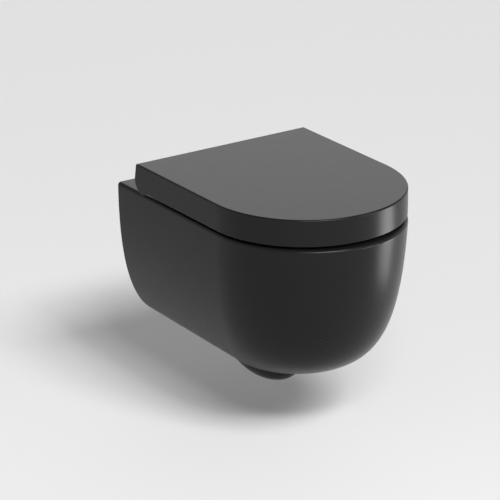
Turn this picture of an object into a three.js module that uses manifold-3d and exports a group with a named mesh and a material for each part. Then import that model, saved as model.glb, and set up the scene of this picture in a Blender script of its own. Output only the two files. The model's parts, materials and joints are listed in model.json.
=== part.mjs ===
// Wall-hung toilet pan with a wrap-over soft-close seat and lid, in millimetres, +Z up.
// Origin: on the wall plane, midway between the two wall studs. The front points to -Y and the wall
// lies at +Y, so nothing of the object passes y = 0. Left is -X, as seen from the wall.
import * as THREE from "three";
import { ParametricGeometry } from "three/addons/geometries/ParametricGeometry.js";
import { mergeVertices } from "three/addons/utils/BufferGeometryUtils.js";
import Module from "manifold-3d";

const wasm = await Module();
wasm.setup();

// ---------------------------------------------------------------- driving dimensions

const GAP = 0.3; // between two pieces that touch
const WALL_GAP = 0.4; // between a piece that meets the wall and the wall plane

// ceramic pan
const PAN = {
  halfWidth: 180,
  reach: 511.8, // from the wall to the front
  nose: 191.5, // depth of the round front in plan
  top: 80, // deck above the wall studs
  depth: 272.5, // deck to underside, at the wall
  fall: 0.034, // the underside drops by this share of the depth at the front
  rimRadius: 6,
  skin: 11,
  deck: 14,
  web: 12, // back wall
};
const UNDERSIDE_INSET = { side: 111.9, front: 182.9 };

// bowl, all along the plane of symmetry
const BOWL = { rear: -175, front: -475, halfWidth: 138, wall: 10, floor: -160 };

// waterway below the bowl: down, round the sump, up and over the weir, and out to the wall
const TRAP = { outer: 51, bore: 38, inletY: -260, sumpRadius: 55, weirRadius: 50 };
const WASTE_Z = -100; // the usual 100 mm below the studs
const FLUSH_Z = 35; // the usual 135 mm above the waste
const FLUSH = { pipe: 27.5, wall: 3, length: 52, hole: 31, outer: 34, bore: 27 };
const WASTE = { pipe: 59, wall: 3.5, length: 62, hole: 62 };

const STUD_X = 90; // half of the usual 180 mm stud spacing
const HINGE_X = 77.5; // half of the usual 155 mm seat fixing spacing

// the one axis on which seat and lid turn
const AXIS = { y: -83.5, z: 104 };

const LID = {
  halfWidth: 182.5,
  back: -66,
  length: 437.5,
  nose: 186,
  power: 2.04, // of the superellipse round the front
  top: 134.35,
  skirtBottom: 85.65,
  plate: 8,
  skin: 6,
  edgeRadius: 3,
  skirtEdge: 0.8,
  earRadius: 23.2, // the back corners are round about the hinge axis
  rollEnd: -6, // the rolled back wall ends this far from the axis
  notch: [50, 118], // across each hinge, up into the plate
  notchDepth: 1.5,
};
const SEAT = {
  halfWidth: 173.5,
  back: -108.5,
  front: -495,
  nose: 177,
  bottom: 92,
  top: 116.5,
  tongue: 66, // half width of the tongue that holds the dampers
  tongueRadius: 12.25,
  tongueRoot: 30, // how far the tongue runs into the seat's back
  edgeRadius: 7,
  underEdge: 1.5,
  hole: { y: -315, halfWidth: 112, halfLength: 125 },
};
const PIN = 4; // radius of the hinge pins
const DAMPER = 7; // radius of the dampers and bushes
const DAMPER_START = 17; // from the plane of symmetry
const BORE_START = 15;
const BUTTON_TRAVEL = 2;

const RING = { back: 4, side: 2, nose: 24 }; // steps round a D-shaped outline
const SMALL = 16; // sides of a small round piece
const LARGE = 28; // sides of a large one

// ---------------------------------------------------------------- materials

const FINISH = {
  glaze: { color: 0x2b2b2c, roughness: 0.38, metalness: 0 },
  duroplast: { color: 0x302f30, roughness: 0.42, metalness: 0 },
  steel: { color: 0xb9bbbd, roughness: 0.3, metalness: 1 },
  zinc: { color: 0x9da1a4, roughness: 0.45, metalness: 0.9 },
  rubber: { color: 0x1d1d1e, roughness: 0.85, metalness: 0 },
  buffer: { color: 0x3a3a3c, roughness: 0.7, metalness: 0 },
  pipe: { color: 0x1b1c1e, roughness: 0.5, metalness: 0 },
  nylon: { color: 0xdadad4, roughness: 0.55, metalness: 0 },
};

// ---------------------------------------------------------------- solids

function solidOf(geometry) {
  const bare = geometry.clone();
  bare.deleteAttribute("normal");
  bare.deleteAttribute("uv");
  const merged = mergeVertices(bare, 1e-4);
  return new wasm.Manifold(
    new wasm.Mesh({
      numProp: 3,
      vertProperties: merged.attributes.position.array,
      triVerts: new Uint32Array(merged.index.array),
    }),
  );
}

function join(first, ...others) {
  return others.reduce((sum, other) => sum.add(other), first);
}

function cut(body, ...tools) {
  return tools.reduce((rest, tool) => rest.subtract(tool), body);
}

function box(x, y, z) {
  const geometry = new THREE.BoxGeometry(x[1] - x[0], y[1] - y[0], z[1] - z[0]);
  geometry.translate((x[0] + x[1]) / 2, (y[0] + y[1]) / 2, (z[0] + z[1]) / 2);
  return solidOf(geometry);
}

// A box and its mirror image across x = 0.
function boxPair(x, y, z) {
  return join(box(x, y, z), box([-x[1], -x[0]], y, z));
}

// A cylinder along one axis, from one end to the other, centred on the two remaining coordinates.
function rod(axis, radius, ends, centre, sides = SMALL) {
  const length = ends[1] - ends[0];
  const middle = (ends[0] + ends[1]) / 2;
  const geometry = new THREE.CylinderGeometry(radius, radius, length, sides);
  if (axis === "x") {
    geometry.rotateZ(-Math.PI / 2);
    geometry.translate(middle, centre[0], centre[1]);
  } else if (axis === "y") {
    geometry.translate(centre[0], middle, centre[1]);
  } else {
    geometry.rotateX(Math.PI / 2);
    geometry.translate(centre[0], centre[1], middle);
  }
  return solidOf(geometry);
}

function tube(axis, outer, bore, ends, centre, sides = SMALL, boreSides = sides) {
  const through = [ends[0] - 1, ends[1] + 1];
  return cut(rod(axis, outer, ends, centre, sides), rod(axis, bore, through, centre, boreSides));
}

function nut(axis, outer, bore, ends) {
  return tube(axis, outer, bore, ends, [0, 0], 6, SMALL);
}

// A turned piece about the Z axis. The profile's points are [radius, height], from the foot up.
function turned(profile, sides = SMALL) {
  const points = profile.map(([radius, height]) => new THREE.Vector2(radius, height));
  const geometry = new THREE.LatheGeometry(points, sides);
  geometry.rotateX(Math.PI / 2);
  return solidOf(geometry);
}

// A prism along X whose section is a THREE.Shape drawn in (y, z).
function prismX(section, from, to, curveSegments = 12) {
  const geometry = new THREE.ExtrudeGeometry(section, {
    depth: to - from,
    bevelEnabled: false,
    curveSegments,
  });
  // the shape's x becomes y, its y becomes z, and the extrusion runs along x
  geometry.applyMatrix4(new THREE.Matrix4().set(0, 0, 1, from, 1, 0, 0, 0, 0, 1, 0, 0, 0, 0, 0, 1));
  return solidOf(geometry);
}

// A closed skin over rings of points that run anticlockwise seen from above, lowest ring first.
// The first and the last ring are closed by a point at their middle.
function loft(rings) {
  const closedBy = (ring) => ring.map(() => ringMiddle(ring));
  const capped = [closedBy(rings[0]), ...rings, closedBy(rings.at(-1))];
  const sides = rings[0].length;
  const stacks = capped.length - 1;
  const surface = (u, v, target) =>
    target.copy(capped[Math.round(v * stacks)][Math.round(u * sides) % sides]);
  return solidOf(new ParametricGeometry(surface, sides, stacks));
}

function ringMiddle(ring) {
  const sum = ring.reduce((total, point) => total.add(point), new THREE.Vector3());
  return sum.divideScalar(ring.length);
}

// A D in plan: straight back, straight sides, and a superellipse round the front.
function dRing({ halfWidth, back, front, nose, power = 2, z }) {
  const shoulder = front + nose;
  const height = typeof z === "function" ? z : () => z;
  const points = [];
  const put = (x, y) => points.push(new THREE.Vector3(x, y, height(y)));
  for (let i = 0; i < RING.back; i++) {
    put(halfWidth * (1 - (2 * i) / RING.back), back);
  }
  for (let i = 0; i < RING.side; i++) {
    put(-halfWidth, back + ((shoulder - back) * i) / RING.side);
  }
  for (let i = 0; i < RING.nose; i++) {
    const angle = (Math.PI * i) / RING.nose;
    const across = Math.sign(Math.cos(angle)) * Math.abs(Math.cos(angle)) ** (2 / power);
    put(-halfWidth * across, shoulder - nose * Math.sin(angle) ** (2 / power));
  }
  for (let i = 0; i < RING.side; i++) {
    put(halfWidth, shoulder + ((back - shoulder) * i) / RING.side);
  }
  return points;
}

function ellipseRing({ y, halfWidth, halfLength, z, sides = LARGE }) {
  return Array.from({ length: sides }, (_, i) => {
    const angle = (2 * Math.PI * i) / sides;
    return new THREE.Vector3(halfWidth * Math.cos(angle), y + halfLength * Math.sin(angle), z);
  });
}

// How far a quarter-round edge of this radius stands back at a given distance below its top.
function roundOver(radius, below) {
  return below >= radius ? 0 : radius - Math.sqrt(radius ** 2 - (radius - below) ** 2);
}

function edgeLevels(radius) {
  return [0, 0.15, 0.5, 1].map((share) => share * radius);
}

// Where a curve drawn as (value, level) has a given level; the level grows along the curve.
function valueAt(curve, level) {
  let low = 0;
  let high = 1;
  for (let i = 0; i < 40; i++) {
    const middle = (low + high) / 2;
    if (curve.getPoint(middle).y < level) low = middle;
    else high = middle;
  }
  return curve.getPoint((low + high) / 2).x;
}

function bezier(...points) {
  return new THREE.CubicBezierCurve(...points.map(([x, y]) => new THREE.Vector2(x, y)));
}

// ---------------------------------------------------------------- scene graph helpers

const toilet = new THREE.Group();

function group(parent, x = 0, y = 0, z = 0) {
  const made = new THREE.Group();
  made.position.set(x, y, z);
  parent.add(made);
  return made;
}

function add(parent, name, solid, finish) {
  const { numProp, vertProperties, triVerts } = solid.getMesh();
  const positions = new Float32Array((vertProperties.length / numProp) * 3);
  for (let i = 0; i < positions.length / 3; i++) {
    positions.set(vertProperties.subarray(i * numProp, i * numProp + 3), i * 3);
  }
  const geometry = new THREE.BufferGeometry();
  geometry.setAttribute("position", new THREE.BufferAttribute(positions, 3));
  geometry.setIndex(new THREE.BufferAttribute(triVerts, 1));
  geometry.computeVertexNormals();
  const mesh = new THREE.Mesh(geometry, new THREE.MeshStandardMaterial(FINISH[finish]));
  mesh.name = name;
  parent.add(mesh);
}

const SIDES = [
  ["left", -1],
  ["right", 1],
];

// ---------------------------------------------------------------- ceramic pan

// How far the skin stands in from the deck's outline, as (inset, depth below the deck).
const SIDE_PROFILE = bezier(
  [0, 0],
  [0, 151.3],
  [25.7, PAN.depth],
  [UNDERSIDE_INSET.side, PAN.depth],
);
const FRONT_PROFILE = bezier(
  [0, 0],
  [15.2, 201.8],
  [50, PAN.depth],
  [UNDERSIDE_INSET.front, PAN.depth],
);

function panRing(depth, skin, back, edge) {
  const halfWidth = PAN.halfWidth - valueAt(SIDE_PROFILE, depth) - skin - edge;
  const reach = PAN.reach - valueAt(FRONT_PROFILE, depth) - skin - edge;
  const nose = Math.min((halfWidth * PAN.nose) / PAN.halfWidth, reach);
  const z = (y) => PAN.top - depth * (1 - (PAN.fall * y) / PAN.reach);
  return dRing({ halfWidth, back, front: -reach, nose, z });
}

function panOutside() {
  const steps = 12;
  const rings = [];
  for (let i = steps; i > 0; i--) {
    const depth = SIDE_PROFILE.getPoint(i / steps).y;
    if (depth > PAN.rimRadius) rings.push(panRing(depth, 0, 0, 0));
  }
  for (const below of edgeLevels(PAN.rimRadius).reverse()) {
    rings.push(panRing(below, 0, 0, roundOver(PAN.rimRadius, below)));
  }
  return loft(rings);
}

// What the skin holds: everything further in than its wall, by an extra gap, up to the back plane.
function panCore(gap, back) {
  const steps = 8;
  const deepest = PAN.depth - PAN.skin - gap;
  const rings = [];
  for (let i = steps; i >= 0; i--) {
    const depth = deepest * (1 - (1 - i / steps) ** 2);
    rings.push(panRing(depth, PAN.skin + gap, back, 0));
  }
  rings.push(panRing(-1, PAN.skin + gap, back, 0));
  return loft(rings);
}

// Bowl outline in the plane of symmetry and across it, as (distance, height above the bowl's foot).
const BOWL_HEIGHT = PAN.top - BOWL.floor;
const BOWL_FOOT = TRAP.bore;
const BOWL_REAR = bezier(
  [TRAP.inletY + BOWL_FOOT, 0],
  [TRAP.inletY + BOWL_FOOT, 90],
  [BOWL.rear, 130],
  [BOWL.rear, BOWL_HEIGHT],
);
const BOWL_FRONT = bezier(
  [TRAP.inletY - BOWL_FOOT, 0],
  [TRAP.inletY - BOWL_FOOT - 70, 30],
  [BOWL.front, 90],
  [BOWL.front, BOWL_HEIGHT],
);
const BOWL_SIDE = bezier(
  [BOWL_FOOT, 0],
  [BOWL_FOOT + 40, 40],
  [BOWL.halfWidth, 90],
  [BOWL.halfWidth, BOWL_HEIGHT],
);

// The bowl's surface, pushed outwards, between two heights.
function bowlSurface(outwards, bottom, top, steps = 9) {
  const rings = [];
  for (let i = 0; i <= steps; i++) {
    const z = bottom + ((top - bottom) * i) / steps;
    const level = Math.max(z - BOWL.floor, 0);
    const rear = valueAt(BOWL_REAR, level) + outwards;
    const front = valueAt(BOWL_FRONT, level) - outwards;
    const halfWidth = valueAt(BOWL_SIDE, level) + outwards;
    const halfLength = (rear - front) / 2;
    rings.push(ellipseRing({ y: (rear + front) / 2, halfWidth, halfLength, z }));
  }
  return loft(rings);
}

// Middle line of the waterway from the bowl's foot to the wall, in the plane x = 0.
function trapPath() {
  const points = [];
  const put = (y, z) => points.push(new THREE.Vector3(0, y, z));
  const arc = (y, z, radius, from, to, steps) => {
    for (let i = 0; i <= steps; i++) {
      const angle = THREE.MathUtils.degToRad(from + ((to - from) * i) / steps);
      put(y + radius * Math.cos(angle), z + radius * Math.sin(angle));
    }
  };
  const sumpY = TRAP.inletY + TRAP.sumpRadius;
  const weirY = sumpY + TRAP.sumpRadius + TRAP.weirRadius;
  put(TRAP.inletY, BOWL.floor - GAP);
  arc(sumpY, BOWL.floor - 3, TRAP.sumpRadius, 180, 360, 12);
  arc(weirY, WASTE_Z - TRAP.weirRadius, TRAP.weirRadius, 180, 90, 6);
  put(-60, WASTE_Z);
  put(-20, WASTE_Z);
  return new THREE.CatmullRomCurve3(points);
}

function trapTube(outer, bore) {
  const section = new THREE.Shape().absarc(0, 0, outer, 0, 2 * Math.PI, false);
  if (bore) section.holes.push(new THREE.Path().absarc(0, 0, bore, 0, 2 * Math.PI, true));
  const options = { steps: 20, extrudePath: trapPath(), curveSegments: SMALL / 2 };
  return solidOf(new THREE.ExtrudeGeometry(section, options));
}

// openings in the back wall, and the way to each clamping screw from below
const STUD_HOLE = 10;
const UPPER_WINDOW = { x: [122, 158], z: [-30, 52] };
const LOWER_WINDOW = { x: [76, 128], z: [-118, -40] };
const SCREW = { y: -40, way: 7, wayEnds: [-230, -120] };
const FIXING_HOLE = 8; // radius of the seat fixing holes in the deck
const DECK_BOTTOM = PAN.top - PAN.deck;

function addPan(parent) {
  const shell = cut(
    panOutside(),
    panCore(0, 1),
    ...SIDES.map(([, side]) => rod("z", SCREW.way, SCREW.wayEnds, [side * STUD_X, SCREW.y])),
    trapTube(TRAP.outer + GAP),
  );
  add(parent, "pan_shell", shell, "glaze");

  const wide = [-PAN.halfWidth, PAN.halfWidth];
  const deck = cut(
    panCore(GAP, 0).intersect(box(wide, [-PAN.reach, 1], [DECK_BOTTOM, PAN.top])),
    bowlSurface(0, DECK_BOTTOM - 2, PAN.top + 2, 2),
    ...SIDES.map(([, side]) =>
      rod("z", FIXING_HOLE, [DECK_BOTTOM - 1, PAN.top + 1], [side * HINGE_X, AXIS.y]),
    ),
  );
  add(parent, "pan_deck", deck, "glaze");

  const through = [-PAN.web - 1, 1];
  const back = cut(
    panCore(GAP, 0).intersect(box(wide, [-PAN.web, 1], [-PAN.depth, DECK_BOTTOM - GAP])),
    rod("y", FLUSH.hole, through, [0, FLUSH_Z], LARGE),
    rod("y", WASTE.hole, through, [0, WASTE_Z], LARGE),
    ...SIDES.map(([, side]) => rod("y", STUD_HOLE, through, [side * STUD_X, 0])),
    boxPair(UPPER_WINDOW.x, through, UPPER_WINDOW.z),
    boxPair(LOWER_WINDOW.x, through, LOWER_WINDOW.z),
  );
  add(parent, "back_wall", back, "glaze");

  const bowlTop = DECK_BOTTOM - GAP;
  const bowl = cut(
    bowlSurface(BOWL.wall, BOWL.floor, bowlTop),
    bowlSurface(0, BOWL.floor - 1, bowlTop + 1),
    rod("y", FLUSH.bore, [BOWL.rear - 25, BOWL.rear + 25], [0, FLUSH_Z]),
  );
  add(parent, "bowl", bowl, "glaze");
  add(parent, "trapway", trapTube(TRAP.outer, TRAP.bore), "glaze");

  // a short ceramic pipe from the back wall to the bowl, flattened where it meets the deck
  const half = FLUSH.outer + 1;
  const channel = cut(
    rod("y", FLUSH.outer, [BOWL.rear - 5, -PAN.web - GAP], [0, FLUSH_Z - 4]),
    bowlSurface(BOWL.wall + GAP, BOWL.floor, PAN.top),
    rod("y", FLUSH.bore, [BOWL.rear - 6, -FLUSH.length], [0, FLUSH_Z]),
    rod("y", FLUSH.hole, [-FLUSH.length - 2.5, 0], [0, FLUSH_Z], LARGE),
    box([-half, half], [BOWL.rear - 6, 0], [DECK_BOTTOM - GAP, PAN.top]),
  );
  add(parent, "flush_channel", channel, "glaze");
}

// ---------------------------------------------------------------- water connections

const SPREADER = {
  sleeveBore: 22,
  sleeve: [-186, -150],
  plate: [-200, -196],
  webHalf: 8,
  webZ: 24.2,
  webThick: 3.6,
};
const SEAL = { flush: [-48, -WALL_GAP], waste: [-54, -30] };

function addConnections(parent) {
  const pipeBore = FLUSH.pipe - FLUSH.wall;
  const pipe = tube("y", FLUSH.pipe, pipeBore, [-FLUSH.length, -WALL_GAP], [0, FLUSH_Z]);
  add(parent, "flush_pipe", pipe, "pipe");
  const flushSeal = tube("y", FLUSH.hole - GAP, FLUSH.pipe + GAP, SEAL.flush, [0, FLUSH_Z], LARGE);
  add(parent, "flush_seal", flushSeal, "rubber");

  // spreader at the bowl's rear wall: a sleeve in the channel and a plate that turns the water aside
  const { sleeve, plate, sleeveBore, webHalf, webZ, webThick } = SPREADER;
  const radius = FLUSH.bore - GAP;
  const webs = [-1, 1].map((side) => {
    const middle = FLUSH_Z + side * webZ;
    const height = [middle - webThick / 2, middle + webThick / 2];
    return box([-webHalf, webHalf], [plate[0] + 3, sleeve[0] + 1], height);
  });
  const spreader = join(
    tube("y", radius, sleeveBore, sleeve, [0, FLUSH_Z]),
    rod("y", radius, plate, [0, FLUSH_Z]),
    ...webs,
  );
  add(parent, "flush_spreader", spreader, "nylon");

  const socketBore = WASTE.pipe - WASTE.wall;
  const socket = tube("y", WASTE.pipe, socketBore, [-WASTE.length, -WALL_GAP], [0, WASTE_Z], LARGE);
  add(parent, "waste_connector", socket, "pipe");
  // the trap's outlet has flat sides, so the seal round it is a little wider than the usual gap
  const sealBore = TRAP.outer + 0.7;
  const wasteSeal = tube("y", socketBore - GAP, sealBore, SEAL.waste, [0, WASTE_Z], LARGE);
  add(parent, "waste_seal", wasteSeal, "rubber");
}

// ---------------------------------------------------------------- fixing to the wall

const STUD = { radius: 6, length: 62, clear: 6.4 };
const SLEEVE = { radius: 9.6, flange: 14, flangeThick: 3 };
const BRACKET = { thick: 4, halfWidth: 18, bottom: -34, top: 22, lugHalf: 14, lugReach: -56, lugThick: 5 };
const WASHER = { radius: 12, thick: 2.5 };
const STUD_NUT = { radius: 10.5, height: 10 };
const CLAMP = { radius: 4, clear: 4.4, top: -12, bottom: -92, head: 7, headHeight: 6 };

function addWallFixing(parent, name, side) {
  const place = group(parent, side * STUD_X);
  const stud = rod("y", STUD.radius, [-STUD.length, -WALL_GAP], [0, 0]);
  add(place, `wall_stud_${name}`, stud, "zinc");

  const flangeFace = -PAN.web - SLEEVE.flangeThick;
  const sleeve = join(
    tube("y", SLEEVE.radius, STUD.clear, [-PAN.web - 1, -WALL_GAP], [0, 0]),
    tube("y", SLEEVE.flange, STUD.clear, [flangeFace, -PAN.web - GAP], [0, 0]),
  );
  add(place, `stud_sleeve_${name}`, sleeve, "nylon");

  // angle bracket on the stud, whose lug carries the clamping screw
  const { thick, halfWidth, bottom, top, lugHalf, lugReach, lugThick } = BRACKET;
  const plateBack = flangeFace - GAP;
  const plateFront = plateBack - thick;
  const bracket = cut(
    join(
      box([-halfWidth, halfWidth], [plateFront, plateBack], [bottom, top]),
      box([-lugHalf, lugHalf], [lugReach, plateBack - 1], [bottom, bottom + lugThick]),
    ),
    rod("y", STUD.clear, [plateFront - 1, plateBack + 1], [0, 0]),
    rod("z", CLAMP.clear, [bottom - 1, bottom + lugThick + 1], [0, SCREW.y]),
  );
  add(place, `fixing_bracket_${name}`, bracket, "zinc");

  const washerBack = plateFront - GAP;
  const washerFront = washerBack - WASHER.thick;
  const washer = tube("y", WASHER.radius, STUD.clear, [washerFront, washerBack], [0, 0]);
  add(place, `stud_washer_${name}`, washer, "zinc");
  const nutBack = washerFront - GAP;
  const studNut = nut("y", STUD_NUT.radius, STUD.clear, [nutBack - STUD_NUT.height, nutBack]);
  add(place, `stud_nut_${name}`, studNut, "zinc");

  const screw = join(
    rod("z", CLAMP.radius, [CLAMP.bottom, CLAMP.top], [0, SCREW.y]),
    rod("z", CLAMP.head, [CLAMP.bottom - CLAMP.headHeight, CLAMP.bottom + 1], [0, SCREW.y], 6),
  );
  add(place, `clamp_screw_${name}`, screw, "zinc");
}

// ---------------------------------------------------------------- seat fixing on the deck

// base: a rosette with a post, whose groove takes the release button
const BASE = { gasket: 0.6, plate: 1.8, radius: 17, post: 6, postTop: 17.5 };
const GROOVE = { from: 10, to: 14, depth: 1.2 };
const BOLT = { radius: 3, clear: 3.3, bottom: -42, depth: 8 };
const PLUG = { bottom: -30, neck: 7.7, foot: 8.5, swell: 11, swellHeight: 4, shoulder: 10, shoulderZ: -17 };
const HINGE_NUT = { radius: 6.4, bore: 3.4, height: 6 };

function addHingeBase(parent, name, side) {
  const place = group(parent, side * HINGE_X, AXIS.y, PAN.top);
  const gasketTop = GAP + BASE.gasket;
  const gasket = tube("z", BASE.radius - 1, FIXING_HOLE, [GAP, gasketTop], [0, 0]);
  add(place, `base_gasket_${name}`, gasket, "rubber");

  const foot = gasketTop + GAP;
  const groove = BASE.post - GROOVE.depth;
  const base = turned([
    [0, foot + BOLT.depth],
    [BOLT.clear, foot + BOLT.depth],
    [BOLT.clear, foot],
    [BASE.radius - 0.8, foot],
    [BASE.radius, foot + 0.8],
    [BASE.radius - 1.2, foot + BASE.plate],
    [BASE.post, foot + BASE.plate],
    [BASE.post, GROOVE.from],
    [groove, GROOVE.from + 1],
    [groove, GROOVE.to - 1],
    [BASE.post, GROOVE.to],
    [BASE.post, BASE.postTop - 1],
    [BASE.post - 1, BASE.postTop],
    [0, BASE.postTop],
  ]);
  add(place, `hinge_base_${name}`, base, "steel");
  const bolt = rod("z", BOLT.radius, [BOLT.bottom, foot + BOLT.depth - 0.5], [0, 0]);
  add(place, `hinge_bolt_${name}`, bolt, "steel");

  // the plug swells under the deck when the nut is drawn up
  const plug = cut(
    turned([
      [0, PLUG.bottom],
      [PLUG.foot, PLUG.bottom],
      [PLUG.swell, PLUG.bottom + PLUG.swellHeight],
      [PLUG.shoulder, PLUG.shoulderZ],
      [PLUG.neck, -PAN.deck - 0.4],
      [PLUG.neck, -GAP],
      [0, -GAP],
    ]),
    rod("z", BOLT.clear, [PLUG.bottom - 2, 1], [0, 0]),
  );
  add(place, `expansion_plug_${name}`, plug, "rubber");
  const nutTop = PLUG.bottom - GAP;
  const hingeNut = nut("z", HINGE_NUT.radius, HINGE_NUT.bore, [nutTop - HINGE_NUT.height, nutTop]);
  add(place, `hinge_nut_${name}`, hingeNut, "steel");
}

// ---------------------------------------------------------------- hinge blocks, pins and release buttons

const BLOCK = { from: 68.5, to: 86.5, radius: 11, halfDepth: 10.5, foot: -20.2 };
const BUTTON = { z: -14.5, head: 5, headThick: 2.5, stem: 3 };

// From here on a piece sits in the hinge's own frame: x across, y and z measured from the axis.
function addHingeBlock(parent, name, side) {
  const span = side > 0 ? [BLOCK.from, BLOCK.to] : [-BLOCK.to, -BLOCK.from];
  const middle = side * HINGE_X;
  const post = BASE.post + GAP;
  const block = cut(
    join(
      rod("x", BLOCK.radius, span, [0, 0]),
      box(span, [-BLOCK.halfDepth, BLOCK.halfDepth], [BLOCK.foot, 0]),
    ),
    rod("z", post, [BLOCK.foot - 1, BASE.postTop - (AXIS.z - PAN.top) + 1], [middle, 0]),
    rod("x", PIN + GAP, [span[0] - 1, span[1] + 1], [0, 0]),
    rod("y", BUTTON.stem + GAP, [-BLOCK.halfDepth - 1, -post + 1], [middle, BUTTON.z]),
  );
  add(parent, `hinge_block_${name}`, block, "duroplast");
  const face = -BLOCK.halfDepth - BUTTON_TRAVEL - GAP;
  const button = join(
    rod("y", BUTTON.head, [face - BUTTON.headThick, face], [middle, BUTTON.z]),
    rod("y", BUTTON.stem, [face - 1, -post - BUTTON_TRAVEL], [middle, BUTTON.z]),
  );
  add(parent, `release_button_${name}`, button, "steel");
}

// ---------------------------------------------------------------- seat

const LUG = { from: 88.5, to: 112.5, radius: 11 };
const BUSH_LENGTH = 8.6;

// soft pads under the seat and the lid, each placed at (distance from the plane of symmetry, y)
const PAD = { radius: 7, edge: 0.8 };
const SEAT_PADS = { front: [98, -446], rear: [156, -200] };
const LID_PADS = { front: [75, -445], rear: [143, -200] };

// Brings a solid drawn in the pan's frame into the hinge's own frame.
function hingeFrame(solid) {
  return solid.translate([0, -AXIS.y, -AXIS.z]);
}

function seatRing(z, edge) {
  return dRing({
    halfWidth: SEAT.halfWidth - edge,
    back: SEAT.back - edge,
    front: SEAT.front + edge,
    nose: SEAT.nose - edge,
    power: LID.power,
    z,
  });
}

function seatSolid() {
  const levels = edgeLevels(SEAT.edgeRadius).reverse();
  const body = loft(
    [
      seatRing(SEAT.bottom, SEAT.underEdge),
      seatRing(SEAT.bottom + SEAT.underEdge, 0),
      ...levels.map((below) => seatRing(SEAT.top - below, roundOver(SEAT.edgeRadius, below))),
    ],
  );
  const { y, halfWidth, halfLength } = SEAT.hole;
  const holeRing = (z, edge) =>
    ellipseRing({ y, halfWidth: halfWidth + edge, halfLength: halfLength + edge, z });
  const hole = loft(
    [
      holeRing(SEAT.bottom - 1, 0),
      ...levels.map((below) => holeRing(SEAT.top - below, roundOver(SEAT.edgeRadius, below))),
      holeRing(SEAT.top + 1, SEAT.edgeRadius),
    ],
  );
  // the tongue runs back to the axis and ends in a half round about it
  const reach = SEAT.back - AXIS.y - SEAT.tongueRoot;
  const section = new THREE.Shape();
  section.moveTo(reach, -SEAT.tongueRadius);
  section.lineTo(0, -SEAT.tongueRadius);
  section.absarc(0, 0, SEAT.tongueRadius, -Math.PI / 2, Math.PI / 2, false);
  section.lineTo(reach, SEAT.tongueRadius);
  section.closePath();
  const tongue = prismX(section, -SEAT.tongue, SEAT.tongue);
  const bores = SIDES.map(([, side]) => {
    const ends = side > 0 ? [BORE_START, SEAT.tongue + 1] : [-SEAT.tongue - 1, -BORE_START];
    return rod("x", DAMPER + GAP, ends, [0, 0]);
  });
  return cut(hingeFrame(body).subtract(hingeFrame(hole)).add(tongue), ...bores);
}

function pad(parent, name, x, y, bottom, top) {
  const height = top - bottom;
  const body = turned([
    [0, 0],
    [PAD.radius - PAD.edge, 0],
    [PAD.radius, PAD.edge],
    [PAD.radius, height],
    [0, height],
  ]);
  const place = group(parent, x, y - AXIS.y, bottom - AXIS.z);
  add(place, name, body, "buffer");
}

function addSeat(parent) {
  add(parent, "seat_ring", seatSolid(), "duroplast");
  for (const [name, side] of SIDES) {
    for (const [row, [x, y]] of Object.entries(SEAT_PADS)) {
      pad(parent, `seat_buffer_${row}_${name}`, side * x, y, PAN.top + GAP, SEAT.bottom - GAP);
    }
    const mouth = SEAT.tongue - GAP;
    const bush = [mouth - BUSH_LENGTH, mouth].map((x) => x * side).sort((a, b) => a - b);
    add(parent, `seat_bush_${name}`, tube("x", DAMPER, PIN + GAP, bush, [0, 0]), "nylon");
  }
  const inner = SEAT.tongue - BUSH_LENGTH - 2 * GAP;
  add(parent, "lid_damper", rod("x", DAMPER, [-inner, -DAMPER_START], [0, 0]), "steel");
  add(parent, "seat_damper", rod("x", DAMPER, [DAMPER_START, inner], [0, 0]), "steel");
}

// ---------------------------------------------------------------- lid

function lidRing(z, inset, back) {
  return dRing({
    halfWidth: LID.halfWidth - inset,
    back,
    front: LID.back - LID.length + inset,
    nose: LID.nose - inset,
    power: LID.power,
    z,
  });
}

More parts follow.
